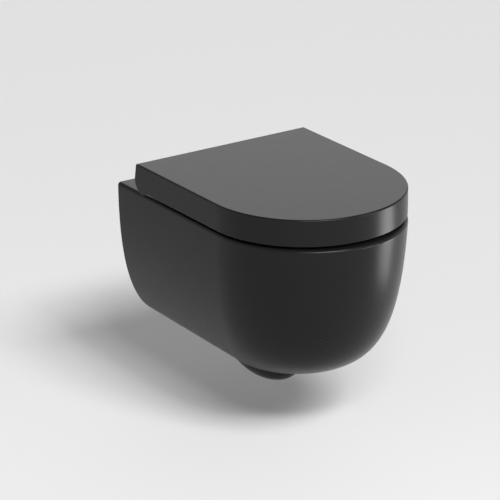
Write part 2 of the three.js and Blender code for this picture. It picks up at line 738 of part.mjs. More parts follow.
function lidSolid() {
  const earBack = AXIS.y + LID.earRadius;
  const { edgeRadius, top, skirtBottom, skirtEdge, skin, plate } = LID;
  const outside = loft(
    [
      lidRing(skirtBottom, skirtEdge, earBack),
      lidRing(skirtBottom + skirtEdge, 0, earBack),
      lidRing(AXIS.z, 0, earBack),
      ...edgeLevels(edgeRadius)
        .reverse()
        .map((below) =>
          lidRing(top - below, roundOver(edgeRadius, below), LID.back + 1 - roundOver(edgeRadius, below)),
        ),
    ],
  );
  const wide = LID.halfWidth;
  const far = 60;
  // below the axis the back is round about it
  const rounded = hingeFrame(outside)
    .subtract(box([-wide - 1, wide + 1], [0, far], [-far, 0]))
    .add(rod("x", LID.earRadius, [-wide, wide], [0, 0], 2 * LARGE));
  const inner = LID.earRadius - skin;
  const innerBack = AXIS.y + inner;
  const hollow = hingeFrame(
    loft(
      [
        lidRing(AXIS.z, skin, innerBack),
        lidRing(top - plate - edgeRadius, skin, innerBack),
        lidRing(top - plate, skin + edgeRadius, innerBack - edgeRadius),
      ],
    ),
  );
  const room = wide - skin;
  const below = hingeFrame(
    loft([lidRing(AXIS.z - 30, skin, AXIS.y), lidRing(AXIS.z + 0.01, skin, AXIS.y)]),
  );
  const opened = cut(
    rounded,
    hollow,
    below,
    rod("x", inner, [-room, room], [0, 0], 2 * LARGE),
    // the rolled back wall ends just below the axis, and is notched up to the plate at the hinges
    box([-room, room], [-1, far], [-far, LID.rollEnd]),
    boxPair(LID.notch, [0, far], [-far, top - plate - AXIS.z + LID.notchDepth]),
  );
  // two lugs under the plate carry the hinge pins
  const ceiling = top - plate - AXIS.z + 1;
  const section = new THREE.Shape();
  section.moveTo(-LUG.radius - 8, ceiling);
  section.lineTo(-LUG.radius, 0);
  section.absarc(0, 0, LUG.radius, Math.PI, 2 * Math.PI, false);
  section.lineTo(LUG.radius, ceiling);
  section.closePath();
  const lugs = [prismX(section, LUG.from, LUG.to), prismX(section, -LUG.to, -LUG.from)];
  const holes = SIDES.map(([, side]) => {
    const ends = side > 0 ? [LUG.from - 1, LUG.to + 1] : [-LUG.to - 1, -LUG.from + 1];
    return rod("x", PIN + GAP, ends, [0, 0]);
  });
  return cut(join(opened, ...lugs), ...holes);
}

function addLid(parent) {
  add(parent, "lid_shell", lidSolid(), "duroplast");
  const ceiling = LID.top - LID.plate - GAP;
  for (const [name, side] of SIDES) {
    for (const [row, [x, y]] of Object.entries(LID_PADS)) {
      pad(parent, `lid_buffer_${row}_${name}`, side * x, y, SEAT.top + GAP, ceiling);
    }
  }
}

// ---------------------------------------------------------------- assembly

const pan = group(toilet);
addPan(pan);
addConnections(pan);
for (const [name, side] of SIDES) {
  addWallFixing(pan, name, side);
  addHingeBase(pan, name, side);
}

const hinge = group(toilet, 0, AXIS.y, AXIS.z);
for (const [name, side] of SIDES) {
  addHingeBlock(hinge, name, side);
  const ends = [SEAT.tongue - BUSH_LENGTH, LUG.to - GAP].map((x) => x * side).sort((a, b) => a - b);
  add(hinge, `hinge_pin_${name}`, rod("x", PIN, ends, [0, 0]), "steel");
}
const seat = group(hinge);
addSeat(seat);
const lid = group(hinge);
addLid(lid);

export default toilet;
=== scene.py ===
"""Looks of the wall-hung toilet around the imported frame.

It makes the fine meshes and their materials, and the floor, lights and camera to see them with.
Everything is in metres in the frame of the CAD model: the wall is the plane y = 0, the pan's front
points to -Y, +Z is up, and the origin lies midway between the two wall studs.
"""

import json
import math
import bmesh
import bpy
from mathutils import Matrix, Vector

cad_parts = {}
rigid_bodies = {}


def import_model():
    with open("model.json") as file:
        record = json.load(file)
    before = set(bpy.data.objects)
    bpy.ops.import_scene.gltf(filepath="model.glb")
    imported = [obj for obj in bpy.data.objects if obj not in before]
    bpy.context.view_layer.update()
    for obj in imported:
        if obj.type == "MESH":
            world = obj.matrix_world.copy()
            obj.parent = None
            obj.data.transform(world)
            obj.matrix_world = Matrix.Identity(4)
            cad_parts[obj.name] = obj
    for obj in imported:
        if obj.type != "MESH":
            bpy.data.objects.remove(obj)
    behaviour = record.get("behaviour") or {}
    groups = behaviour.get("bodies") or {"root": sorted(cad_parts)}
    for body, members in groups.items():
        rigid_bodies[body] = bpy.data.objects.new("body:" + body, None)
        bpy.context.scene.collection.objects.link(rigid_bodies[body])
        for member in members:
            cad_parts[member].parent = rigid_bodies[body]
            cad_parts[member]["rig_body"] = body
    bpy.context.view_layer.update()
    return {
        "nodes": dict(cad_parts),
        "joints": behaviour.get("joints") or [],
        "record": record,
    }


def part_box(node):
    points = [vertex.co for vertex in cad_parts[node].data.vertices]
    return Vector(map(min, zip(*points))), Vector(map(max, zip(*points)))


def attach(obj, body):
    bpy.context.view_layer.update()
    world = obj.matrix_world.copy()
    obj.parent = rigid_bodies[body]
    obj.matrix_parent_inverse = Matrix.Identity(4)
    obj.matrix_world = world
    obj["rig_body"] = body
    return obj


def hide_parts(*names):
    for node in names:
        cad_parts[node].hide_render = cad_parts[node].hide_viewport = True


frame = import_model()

MM = 0.001  # also how far a cutting tool runs past the face that it opens
TURN = 2 * math.pi
SIDES = (("left", -1), ("right", 1))

scene = bpy.context.scene

# -------------------------------------------------- sizes taken from the frame

pan_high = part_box("pan_shell")[1]
deck_low, deck_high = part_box("pan_deck")
lid_low, lid_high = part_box("lid_shell")
seat_low, seat_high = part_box("seat_ring")
seat_hinge = next(joint for joint in frame["joints"] if joint["name"] == "seat_hinge")
hinge_axis = Vector(seat_hinge["pos_m"])

DECK = deck_high.z
DECK_THICK = deck_high.z - deck_low.z


def middle(node):
    low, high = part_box(node)
    return (low + high) / 2


# -------------------------------------------------- driving dimensions of the fine shapes

# The sections of pan and bowl are Bezier curves drawn in millimetres. So are the places in BOWL
# (rear, front, half_width, floor) and TRAP (inlet_y, sump, weir). All else is in metres.

PAN = {
    "half_width": pan_high.x,
    "reach": 511.8 * MM,
    "nose": 191.5 * MM,
    "depth": 272.5 * MM,
    "fall": 0.034,
    "rim": 6 * MM,
    "skin": 11 * MM,
    "web": 12 * MM,
}
SIDE_PROFILE = ((0, 0), (0, 151.3), (25.7, 272.5), (111.9, 272.5))
FRONT_PROFILE = ((0, 0), (15.2, 201.8), (50, 272.5), (182.9, 272.5))
BULGE = {
    "y": -200 * MM,
    "x_radius": 47 * MM,
    "y_radius": 103 * MM,
    "drop": 71 * MM,
    "fillet": 12 * MM,
}
BOWL = {
    "rear": -175,
    "front": -475,
    "half_width": 138,
    "floor": -160,
    "wall": 10 * MM,
    "lip": 9 * MM,
}
TRAP = {
    "outer": 51 * MM,
    "bore": 38 * MM,
    "inlet_y": -260,
    "sump": 55,
    "weir": 50,
    "overlap": 3 * MM,
}
FLUSH = {
    "bore": 27 * MM,
    "bore_ends": (-200 * MM, -50 * MM),
    "socket": 31 * MM,
    "socket_depth": 54.5 * MM,
    "channel": 34 * MM,
    "channel_ends": (-180 * MM, 0),
    "channel_drop": 4 * MM,
}
HOLES = {"waste": 62 * MM, "stud": 10 * MM, "hinge": 8 * MM, "screw": 7 * MM}  # radii
SCREW_WAY = (-230 * MM, -120 * MM)  # the clamping screw is turned through the pan's underside
WINDOWS = (
    ((-158 * MM, -122 * MM), (-30 * MM, 52 * MM)),
    ((122 * MM, 158 * MM), (-30 * MM, 52 * MM)),
    ((-128 * MM, -76 * MM), (-118 * MM, -40 * MM)),
    ((76 * MM, 128 * MM), (-118 * MM, -40 * MM)),
)
LID = {
    "back": -65 * MM,
    "nose": 186 * MM,
    "plate": 8 * MM,
    "skin": 6 * MM,
    "edge": 3 * MM,
    "low_edge": 1.2 * MM,
    "inner_edge": 4 * MM,
    "skirt_bottom": 85.65 * MM,
    "roll_end": 6 * MM,
    "notch": (50 * MM, 118 * MM),
    "notch_rise": 1.5 * MM,
    "lug": (88.5 * MM, 112.5 * MM),
    "lug_radius": 11 * MM,
    "lug_spread": 8 * MM,
    "power": 2.04,
}
SEAT = {
    "back": -108.5 * MM,
    "nose": 177 * MM,
    "tongue": 66 * MM,
    "tongue_radius": 12.25 * MM,
    "tongue_bore": 7.3 * MM,
    "bore_start": 15 * MM,
    "edge": 7 * MM,
    "low_edge": 2.5 * MM,
    "hole_y": -315 * MM,
    "hole_half_width": 112 * MM,
    "hole_half_length": 125 * MM,
}
PIN_BORE = 4.3 * MM  # a radius, for hinge pins of 8 mm
POST = {
    "radius": 6 * MM,
    "groove": 1.2 * MM,
    "flange": 1.8 * MM,
    "bore": 3.3 * MM,
    "bore_depth": 8 * MM,
}
STUD_BORE = 6.4 * MM  # a radius, for wall studs of 12 mm
BRACKET = {"thick": 4 * MM, "foot": 5 * MM, "bend": 3 * MM, "waist": (14 * MM, 19 * MM)}

# -------------------------------------------------- mesh helpers


def new_object(name, points, faces):
    mesh = bpy.data.meshes.new(name)
    mesh.from_pydata([tuple(p) for p in points], [], faces)
    made = bpy.data.objects.new(name, mesh)
    scene.collection.objects.link(made)
    face_outwards(made)
    return made


def face_outwards(made):
    shape = bmesh.new()
    shape.from_mesh(made.data)
    bmesh.ops.remove_doubles(shape, verts=shape.verts, dist=1e-7)
    bmesh.ops.recalc_face_normals(shape, faces=shape.faces)
    shape.to_mesh(made.data)
    shape.free()


def apply_modifiers(made):
    depsgraph = bpy.context.evaluated_depsgraph_get()
    baked = bpy.data.meshes.new_from_object(made.evaluated_get(depsgraph))
    made.modifiers.clear()
    old = made.data
    made.data = baked
    bpy.data.meshes.remove(old)


def combine(base, operation, *tools):
    """Joins the tools to the base, or cuts them out of it, and removes the tools."""
    for tool in tools:
        step = base.modifiers.new("combine", "BOOLEAN")
        step.object = tool
        step.operation = operation
        step.solver = "MANIFOLD"
        apply_modifiers(base)
        bpy.data.objects.remove(tool)
    return base


def cut(base, *tools):
    return combine(base, "DIFFERENCE", *tools)


def join(base, *tools):
    return combine(base, "UNION", *tools)


def bevel(made, width, steps=3, angle=35):
    step = made.modifiers.new("bevel", "BEVEL")
    step.width = width
    step.segments = steps
    step.limit_method = "ANGLE"
    step.angle_limit = math.radians(angle)
    step.use_clamp_overlap = True
    apply_modifiers(made)
    return made


def smooth(made, angle=32):
    """Smooth shading, with creases only where two faces meet at more than the angle."""
    made.data.polygons.foreach_set("use_smooth", [True] * len(made.data.polygons))
    made.data.set_sharp_from_angle(angle=math.radians(angle))
    weighted = made.modifiers.new("weighted normals", "WEIGHTED_NORMAL")
    weighted.keep_sharp = True
    weighted.weight = 80
    apply_modifiers(made)
    return made


def loft(name, rings):
    """A closed skin over rings of the same number of points."""
    count = len(rings[0])
    points = [p for ring in rings for p in ring]
    faces = [tuple(range(count)), tuple(range(len(points) - count, len(points)))]
    for level in range(len(rings) - 1):
        for i in range(count):
            a, b = level * count + i, level * count + (i + 1) % count
            faces.append((a, b, b + count, a + count))
    return new_object(name, points, faces)


def axis_frame(axis, centre):
    """Turns local Z to the named axis and moves the local origin to the centre."""
    turn = {
        "x": Matrix(((0, 0, 1), (1, 0, 0), (0, 1, 0))),
        "y": Matrix(((0, 1, 0), (0, 0, 1), (1, 0, 0))),
        "z": Matrix.Identity(3),
    }[axis]
    return Matrix.Translation(Vector(centre)) @ turn.to_4x4()


def turned(name, profile, axis="z", centre=(0, 0, 0), sides=48):
    """A solid of revolution. The profile's points are (radius, distance along the axis).
    It ends on the axis at both ends, or else closes on itself as a ring."""
    open_ends = profile[0][0] == 0 and profile[-1][0] == 0
    place = axis_frame(axis, centre)
    points, faces, rows = [], [], []
    for radius, along in profile:
        if radius == 0:
            rows.append([len(points)] * sides)
            points.append(place @ Vector((0, 0, along)))
            continue
        rows.append([len(points) + i for i in range(sides)])
        for i in range(sides):
            angle = TURN * i / sides
            point = (radius * math.cos(angle), radius * math.sin(angle), along)
            points.append(place @ Vector(point))
    pairs = list(zip(rows, rows[1:]))
    if not open_ends:
        pairs.append((rows[-1], rows[0]))
    for low, high in pairs:
        for i in range(sides):
            j = (i + 1) % sides
            face = list(dict.fromkeys((low[i], low[j], high[j], high[i])))
            faces.append(face)
    return new_object(name, points, faces)


def rounded(points, radius, steps=4, closed=True):
    """A polygon or line of 2-D points whose corners are rounded off."""
    done = []
    count = len(points)
    for i, point in enumerate(points):
        here = Vector(point)
        if not closed and i in (0, count - 1):
            done.append(tuple(here))
            continue
        before = Vector(points[i - 1]) - here
        after = Vector(points[(i + 1) % count]) - here
        reach = min(radius, 0.49 * before.length, 0.49 * after.length)
        start = here + before.normalized() * reach
        end = here + after.normalized() * reach
        for k in range(steps + 1):
            share = k / steps
            corner = start * (1 - share) ** 2 + here * 2 * share * (1 - share) + end * share**2
            done.append(tuple(corner))
    return done


def rod(name, axis, radius, ends, centre, edge=0.0, sides=48):
    profile = [(0, ends[0]), (radius, ends[0]), (radius, ends[1]), (0, ends[1])]
    if edge:
        profile = rounded(profile, edge, closed=False)
    return turned(name, profile, axis, centre, sides)


def tube(name, axis, outer, bore, ends, centre, edge=0.3 * MM, sides=64):
    profile = [(bore, ends[0]), (outer, ends[0]), (outer, ends[1]), (bore, ends[1])]
    return turned(name, rounded(profile, edge), axis, centre, sides)


def prism(name, outline, axis, ends, centre=(0, 0, 0)):
    """An outline drawn in the two other axes, extruded from one end to the other."""
    place = axis_frame(axis, centre)
    rings = [[place @ Vector((u, v, along)) for u, v in outline] for along in ends]
    return loft(name, rings)


def box(name, low, high):
    outline = [(low[0], low[1]), (high[0], low[1]), (high[0], high[1]), (low[0], high[1])]
    return prism(name, outline, "z", (low[2], high[2]))


def thread(radius, start, end, pitch=1.25 * MM):
    """Profile of a threaded stretch: grooves one pitch apart, as the turns look from the side."""
    turns = max(1, int((end - start) / pitch))
    step = (end - start) / turns
    depth = 0.5 * pitch
    flat = 0.15  # share of a turn on each side of the groove
    points = []
    for i in range(turns):
        points.append((radius, start + (i + flat) * step))
        points.append((radius - depth, start + (i + 0.5) * step))
        points.append((radius, start + (i + 1 - flat) * step))
    return points


def arc(radius, start, end, steps):
    """Points of a circle from one angle to another, both included."""
    angles = [start + (end - start) * i / steps for i in range(steps + 1)]
    return [(radius * math.cos(angle), radius * math.sin(angle)) for angle in angles]


def hex_solid(name, axis, radius, ends, centre):
    """A hexagonal nut or head, whose corners are turned off at both ends."""
    body = prism(name, arc(radius, 0, TURN * 5 / 6, 5), axis, ends, centre)
    flat = radius * math.cos(math.pi / 6)
    run = (radius - flat) * 0.6
    clear = radius + 0.1 * MM
    profile = [
        (0, ends[0]),
        (flat, ends[0]),
        (clear, ends[0] + run),
        (clear, ends[1] - run),
        (flat, ends[1]),
        (0, ends[1]),
    ]
    return combine(body, "INTERSECT", turned("turning", profile, axis, centre, 64))


def bezier(points, t):
    a, b, c, d = points
    weights = ((1 - t) ** 3, 3 * t * (1 - t) ** 2, 3 * t * t * (1 - t), t**3)
    return tuple(sum(w * p[k] for w, p in zip(weights, (a, b, c, d))) for k in (0, 1))


def value_at(points, level):
    """Where a curve drawn as (value, level) has a level; the level grows along the curve."""
    low, high = 0.0, 1.0
    for _ in range(40):
        half = (low + high) / 2
        if bezier(points, half)[1] < level:
            low = half
        else:
            high = half
    return bezier(points, (low + high) / 2)[0]


def round_over(radius, below):
    """How far a quarter-round edge stands back at a distance below its top."""
    if below >= radius:
        return 0.0
    return radius - math.sqrt(radius**2 - (radius - below) ** 2)


def edge_levels(radius, steps=8):
    """Distances below the top of a quarter-round edge, from its foot up to its top."""
    return [radius * (1 - math.sin(0.5 * math.pi * i / steps)) for i in range(steps + 1)]


def d_ring(half_width, back, front, nose, z, power=2.0, counts=(16, 20, 112)):
    """A D in plan, anticlockwise from above: straight back and sides, superellipse in front."""
    shoulder = front + nose
    height = z if callable(z) else lambda y: z
    points = []
    back_count, side_count, nose_count = counts

    def put(x, y):
        points.append(Vector((x, y, height(y))))

    for i in range(back_count):
        put(half_width * (1 - 2 * i / back_count), back)
    for i in range(side_count):
        put(-half_width, back + (shoulder - back) * i / side_count)
    for i in range(nose_count):
        angle = math.pi * i / nose_count
        across = math.copysign(abs(math.cos(angle)) ** (2 / power), math.cos(angle))
        put(-half_width * across, shoulder - nose * math.sin(angle) ** (2 / power))
    for i in range(side_count):
        put(half_width, shoulder + (back - shoulder) * i / side_count)
    return points


def ellipse_ring(y, half_width, half_length, z, sides=112):
    ring = []
    for i in range(sides):
        angle = TURN * i / sides
        ring.append(Vector((half_width * math.cos(angle), y + half_length * math.sin(angle), z)))
    return ring


# -------------------------------------------------- materials


class Finish:
    """A node material around one Principled shader."""

    def __init__(self, name, colour, roughness, metallic=0.0, specular=0.5, tint=(1, 1, 1)):
        self.material = bpy.data.materials.new(name)
        self.material.use_nodes = True
        self.nodes = self.material.node_tree.nodes
        self.links = self.material.node_tree.links
        self.shader = self.nodes["Principled BSDF"]
        self.shader.inputs["Base Color"].default_value = (*colour, 1)
        self.shader.inputs["Roughness"].default_value = roughness
        self.shader.inputs["Metallic"].default_value = metallic
        self.shader.inputs["Specular IOR Level"].default_value = specular
        self.shader.inputs["Specular Tint"].default_value = (*tint, 1)
        self.colour = colour
        self.roughness = roughness
        self.place = self.nodes.new("ShaderNodeTexCoord")

    def noise(self, scale, detail=2.0, stretch=(1, 1, 1)):
        mapping = self.nodes.new("ShaderNodeMapping")
        mapping.inputs["Scale"].default_value = stretch
        self.links.new(self.place.outputs["Object"], mapping.inputs["Vector"])
        texture = self.nodes.new("ShaderNodeTexNoise")
        texture.inputs["Scale"].default_value = scale
        texture.inputs["Detail"].default_value = detail
        self.links.new(mapping.outputs["Vector"], texture.inputs["Vector"])
        return texture.outputs["Fac"]

    def spread(self, source, low, high):
        """Maps the middle range of a noise to the range from low to high."""
        ramp = self.nodes.new("ShaderNodeMapRange")
        ramp.interpolation_type = "SMOOTHSTEP"
        ramp.inputs["From Min"].default_value = 0.3
        ramp.inputs["From Max"].default_value = 0.7
        ramp.inputs["To Min"].default_value = low
        ramp.inputs["To Max"].default_value = high
        self.links.new(source, ramp.inputs["Value"])
        return ramp.outputs["Result"]

    def vary_colour(self, source, share):
        """Lets the colour drift by a share of itself to each side."""
        mix = self.nodes.new("ShaderNodeMixRGB")
        mix.inputs["Color1"].default_value = (*(c * (1 - share) for c in self.colour), 1)
        mix.inputs["Color2"].default_value = (*(min(1, c * (1 + share)) for c in self.colour), 1)
        self.links.new(self.spread(source, 0, 1), mix.inputs["Fac"])
        self.links.new(mix.outputs["Color"], self.shader.inputs["Base Color"])

    def vary_roughness(self, source, amount):
        result = self.spread(source, self.roughness - amount, self.roughness + amount)
        self.links.new(result, self.shader.inputs["Roughness"])

    def bump(self, source, depth):
        """Adds relief of a depth in metres to whatever relief is there already."""
        bump = self.nodes.new("ShaderNodeBump")
        bump.inputs["Distance"].default_value = depth
        bump.inputs["Strength"].default_value = 1.0
        self.links.new(source, bump.inputs["Height"])
        normal = self.shader.inputs["Normal"]
        if normal.is_linked:
            self.links.new(normal.links[0].from_socket, bump.inputs["Normal"])
        self.links.new(bump.outputs["Normal"], normal)


# the photograph's black is slightly warm, both in its own colour and in what it reflects
BLACK = (0.0088, 0.0084, 0.0086)
WARM = (1.0, 0.965, 0.98)
SATIN = {"roughness": 0.28, "specular": 0.16, "tint": WARM}


def glaze_finish():
    """Satin black glaze: the faint ripple of a fired glaze, and a slow drift of tone and gloss."""
    made = Finish("satin black glaze", BLACK, **SATIN)
    made.vary_colour(made.noise(9, 3), 0.03)
    made.vary_roughness(made.noise(22, 3), 0.008)
    made.bump(made.noise(140, 2), 0.03 * MM)
    made.bump(made.noise(1400, 2), 0.004 * MM)
    return made.material


def duroplast_finish():
    """Moulded thermoset with a satin surface and a very fine grain."""
    made = Finish("satin black duroplast", BLACK, **SATIN)
    made.vary_colour(made.noise(7, 2), 0.02)
    made.vary_roughness(made.noise(30, 2), 0.006)
    made.bump(made.noise(1800, 3), 0.004 * MM)
    return made.material


def steel_finish():
    made = Finish("stainless steel", (0.58, 0.57, 0.55), 0.27, metallic=1.0)
    made.vary_roughness(made.noise(160, 3, (1, 1, 0.05)), 0.07)
    made.bump(made.noise(900, 3, (1, 1, 0.04)), 0.006 * MM)
    return made.material


def zinc_finish():
    made = Finish("zinc-plated steel", (0.46, 0.47, 0.48), 0.42, metallic=1.0)
    made.vary_colour(made.noise(110, 4), 0.18)
    made.vary_roughness(made.noise(140, 3), 0.09)
    made.bump(made.noise(1100, 3), 0.008 * MM)
    return made.material


def rubber_finish(name, colour):
    made = Finish(name, colour, 0.72, specular=0.35)
    made.vary_colour(made.noise(60, 3), 0.15)
    made.vary_roughness(made.noise(90, 2), 0.06)
    made.bump(made.noise(1500, 3), 0.012 * MM)
    return made.material


def pipe_finish():
    made = Finish("black pipe plastic", (0.017, 0.0175, 0.018), 0.42)
    made.vary_colour(made.noise(35, 2), 0.12)
    made.vary_roughness(made.noise(70, 3), 0.06)
    made.bump(made.noise(650, 2, (1, 0.15, 1)), 0.012 * MM)
    return made.material


def nylon_finish():
    made = Finish("nylon", (0.66, 0.65, 0.61), 0.5)
    made.vary_colour(made.noise(45, 3), 0.05)
    made.vary_roughness(made.noise(120, 2), 0.05)
    made.bump(made.noise(900, 2), 0.010 * MM)
    return made.material


FINISHES = {
    "glaze": glaze_finish(),
    "duroplast": duroplast_finish(),
    "steel": steel_finish(),
    "zinc": zinc_finish(),
    "rubber": rubber_finish("black rubber", (0.018, 0.018, 0.0185)),
    "buffer": rubber_finish("soft buffer", (0.045, 0.045, 0.047)),
    "pipe": pipe_finish(),
    "nylon": nylon_finish(),
}
SLOT_OF = {row["node"]: row["material_slot"] for row in frame["record"]["subparts"]}


def stand_for(piece, *nodes):
    """The piece takes the place, the body and the material slot of these CAD nodes."""
    smooth(piece)
    slot = SLOT_OF[nodes[0]]
    piece.data.materials.clear()
    piece.data.materials.append(FINISHES[slot])
    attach(piece, frame["nodes"][nodes[0]]["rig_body"])
    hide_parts(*nodes)
    return piece


# -------------------------------------------------- ceramic pan


def pan_height(depth, y):
    """The pan grows a little deeper towards its front."""
    return DECK - depth * (1 - PAN["fall"] * y / PAN["reach"])


def pan_ring(depth, inset=0.0, back=0.0):
    """The pan's outline at a depth below the deck, moved in by an inset."""
    half_width = PAN["half_width"] - value_at(SIDE_PROFILE, depth / MM) * MM - inset
    reach = PAN["reach"] - value_at(FRONT_PROFILE, depth / MM) * MM - inset
    nose = half_width * PAN["nose"] / PAN["half_width"]
    return d_ring(half_width, back, -reach, nose, lambda y: pan_height(depth, y))


def pan_outside():
    """The outer skin with the sump's bulge under it, as one smooth surface."""
    rings = []
    for below in reversed(edge_levels(PAN["rim"], 10)):
        rings.append(pan_ring(below, round_over(PAN["rim"], below)))
    steps = 44
    for i in range(1, steps + 1):
        depth = bezier(SIDE_PROFILE, i / steps)[1] * MM
        if depth > PAN["rim"]:
            rings.append(pan_ring(depth))
    flat = rings[-1]
    centre = BULGE["y"]
    span = Vector((BULGE["x_radius"], BULGE["y_radius"]))

    def bulge_ring(size, grow, drop):
        """The underside moved to an ellipse about the bulge, and down."""
        made = []
        for point in flat:
            angle = math.atan2((point.y - centre) / span.y, point.x / span.x)
            x = (span.x * size + grow) * math.cos(angle)
            y = centre + (span.y * size + grow) * math.sin(angle)
            made.append(Vector((x, y, pan_height(PAN["depth"], y) - drop)))
        return made

    fillet = BULGE["fillet"]
    foot = bulge_ring(1, fillet, 0)
    flat_steps, fillet_steps, dome_steps = 7, 8, 20
    for i in range(1, flat_steps):
        rings.append([a.lerp(b, i / flat_steps) for a, b in zip(flat, foot)])
    quarter = math.pi / 2
    for i in range(fillet_steps + 1):
        angle = quarter * i / fillet_steps
        grow, drop = fillet * (1 - math.sin(angle)), fillet * (1 - math.cos(angle))
        rings.append(bulge_ring(1, grow, drop))
    for i in range(1, dome_steps):
        angle = quarter * i / dome_steps
        drop = fillet + (BULGE["drop"] - fillet) * math.sin(angle)
        rings.append(bulge_ring(math.cos(angle), 0, drop))
    return loft("ceramic_pan", rings)


def pan_core():
    """What the skin holds below the deck and before the back wall."""
    deepest = PAN["depth"] - PAN["skin"]
    steps = 20
    depths = [DECK_THICK]
    depths += [deepest * (1 - (1 - i / steps) ** 2) for i in range(1, steps + 1)]
    return loft("core", [pan_ring(depth, PAN["skin"], -PAN["web"]) for depth in depths])


# the bowl's sections from its floor, which is as wide as the trap, up to the deck
BOWL_HEIGHT = DECK / MM - BOWL["floor"]
FOOT = TRAP["bore"] / MM
BOWL_REAR = (
    (TRAP["inlet_y"] + FOOT, 0),
    (TRAP["inlet_y"] + FOOT, 90),
    (BOWL["rear"], 130),
    (BOWL["rear"], BOWL_HEIGHT),
)
BOWL_FRONT = (
    (TRAP["inlet_y"] - FOOT, 0),
    (TRAP["inlet_y"] - FOOT - 70, 30),
    (BOWL["front"], 90),
    (BOWL["front"], BOWL_HEIGHT),
)
BOWL_SIDE = (
    (FOOT, 0),
    (FOOT + 40, 40),
    (BOWL["half_width"], 90),
    (BOWL["half_width"], BOWL_HEIGHT),
)
CROWDING = 1.5  # more than 1 puts more rings near the bowl's floor, where it curves most


def bowl_ring(z, outwards, height=None):
    """The bowl's section at z, moved outwards, and drawn at another height if one is given."""
    level = max(z / MM - BOWL["floor"], 0)
    rear = value_at(BOWL_REAR, level) * MM + outwards
    front = value_at(BOWL_FRONT, level) * MM - outwards
    half_width = value_at(BOWL_SIDE, level) * MM + outwards
    height = z if height is None else height
    return ellipse_ring((rear + front) / 2, half_width, (rear - front) / 2, height)


def bowl_void():
    """The hollow of the bowl, flared at its mouth so that the rim has a round lip."""
    floor = BOWL["floor"] * MM
    lip = BOWL["lip"]
    steps = 44
    rings = [bowl_ring(floor, 0, floor - 4 * MM)]
    for i in range(steps + 1):
        rings.append(bowl_ring(floor + (DECK - lip - floor) * (i / steps) ** CROWDING, 0))
    for below in edge_levels(lip, 10)[1:-1]:
        rings.append(bowl_ring(DECK - below, round_over(lip, below)))
    rings.append(bowl_ring(DECK, lip))
    rings.append(bowl_ring(DECK, lip, DECK + 2 * MM))
    return loft("bowl void", rings)


def bowl_outside():
    floor = BOWL["floor"] * MM
    steps = 24
    heights = [floor + (DECK - floor) * (i / steps) ** CROWDING for i in range(steps + 1)]
    return loft("bowl outside", [bowl_ring(z, BOWL["wall"]) for z in heights])


def trap_tube(radius, wall_end):
    """The waterway: down from the bowl, round the sump, over the weir and out to the wall."""
    waste_z = middle("waste_connector").z
    floor = BOWL["floor"] * MM
    sump, weir, inlet = TRAP["sump"] * MM, TRAP["weir"] * MM, TRAP["inlet_y"] * MM
    overlap = TRAP["overlap"]
    line = [(inlet, floor + 2 * overlap, -math.pi / 2)]

    def bend(y, z, size, start, end, steps, heading):
        for i in range(steps + 1):
            angle = math.radians(start + (end - start) * i / steps)
            line.append((y + size * math.cos(angle), z + size * math.sin(angle), angle + heading))

    bend(inlet + sump, floor - overlap, sump, 180, 360, 28, math.pi / 2)
    bend(inlet + 2 * sump + weir, waste_z - weir, weir, 180, 90, 14, -math.pi / 2)
    line.append((wall_end, waste_z, 0))
    sides = 56
    rings = []
    for y, z, heading in line:
        across = Vector((0, -math.sin(heading), math.cos(heading)))
        ring = []
        for i in range(sides):
            u, v = radius * math.cos(TURN * i / sides), radius * math.sin(TURN * i / sides)
            ring.append(Vector((u, y, z)) + across * v)
        rings.append(ring)
    return loft("trap tube", rings)


def hole(axis, radius, ends, centre, chamfer=1.2 * MM, sides=64):
    """A cutting tool for a round hole that opens with a chamfer at its high end."""
    low, high = ends
    profile = [
        (0, low - MM),
        (radius, low - MM),
        (radius, high - chamfer),
        (radius + chamfer, high),
        (radius + chamfer, high + MM),
        (0, high + MM),
    ]
    return turned("hole", profile, axis, centre, sides)


def window(x, z, corner=9 * MM, chamfer=1.2 * MM):
    """A cutting tool for an opening with round corners in the back wall."""
    rings = []
    for y, grow in ((-PAN["web"] - MM, 0), (-chamfer, 0), (0, chamfer), (MM, chamfer)):
        outline = [
            (x[0] - grow, z[0] - grow),
            (x[1] + grow, z[0] - grow),
            (x[1] + grow, z[1] + grow),
            (x[0] - grow, z[1] + grow),
        ]
        rings.append([Vector((u, y, v)) for u, v in rounded(outline, corner, 6)])
    return loft("window", rings)


def make_pan():
    flush = (0, 0, middle("flush_pipe").z)
    waste = (0, 0, middle("waste_connector").z)
    stud_x = middle("wall_stud_right").x
    hinge_x = middle("hinge_base_right").x
    fixing_y = middle("clamp_screw_right").y
    trap_end = -20 * MM
    through_wall = (-PAN["web"], 0)
    through_deck = (deck_low.z, DECK)

    # the hollow between the skin and the waterways
    hollow = pan_core()
    channel = (0, 0, flush[2] - FLUSH["channel_drop"])
    cut(
        hollow,
        bowl_outside(),
        trap_tube(TRAP["outer"], trap_end),
        rod("channel", "y", FLUSH["channel"], FLUSH["channel_ends"], channel, sides=64),
    )

    tools = [
        hollow,
        bowl_void(),
        trap_tube(TRAP["bore"], trap_end + MM),
        rod("flush bore", "y", FLUSH["bore"], FLUSH["bore_ends"], flush, sides=64),
        hole("y", FLUSH["socket"], (-FLUSH["socket_depth"], 0), flush),
        hole("y", HOLES["waste"], through_wall, waste, sides=96),
    ]
    for _, side in SIDES:
        tools.append(hole("y", HOLES["stud"], through_wall, (side * stud_x, 0, 0)))
    for _, side in SIDES:
        tools.append(hole("z", HOLES["hinge"], through_deck, (side * hinge_x, hinge_axis.y, 0)))
    for _, side in SIDES:
        tools.append(rod("way", "z", HOLES["screw"], SCREW_WAY, (side * stud_x, fixing_y, 0)))
    tools += [window(x, z) for x, z in WINDOWS]
    pan = cut(pan_outside(), *tools)
    stand_for(pan, "pan_shell", "pan_deck", "back_wall", "bowl", "trapway", "flush_channel")


make_pan()

# -------------------------------------------------- lid


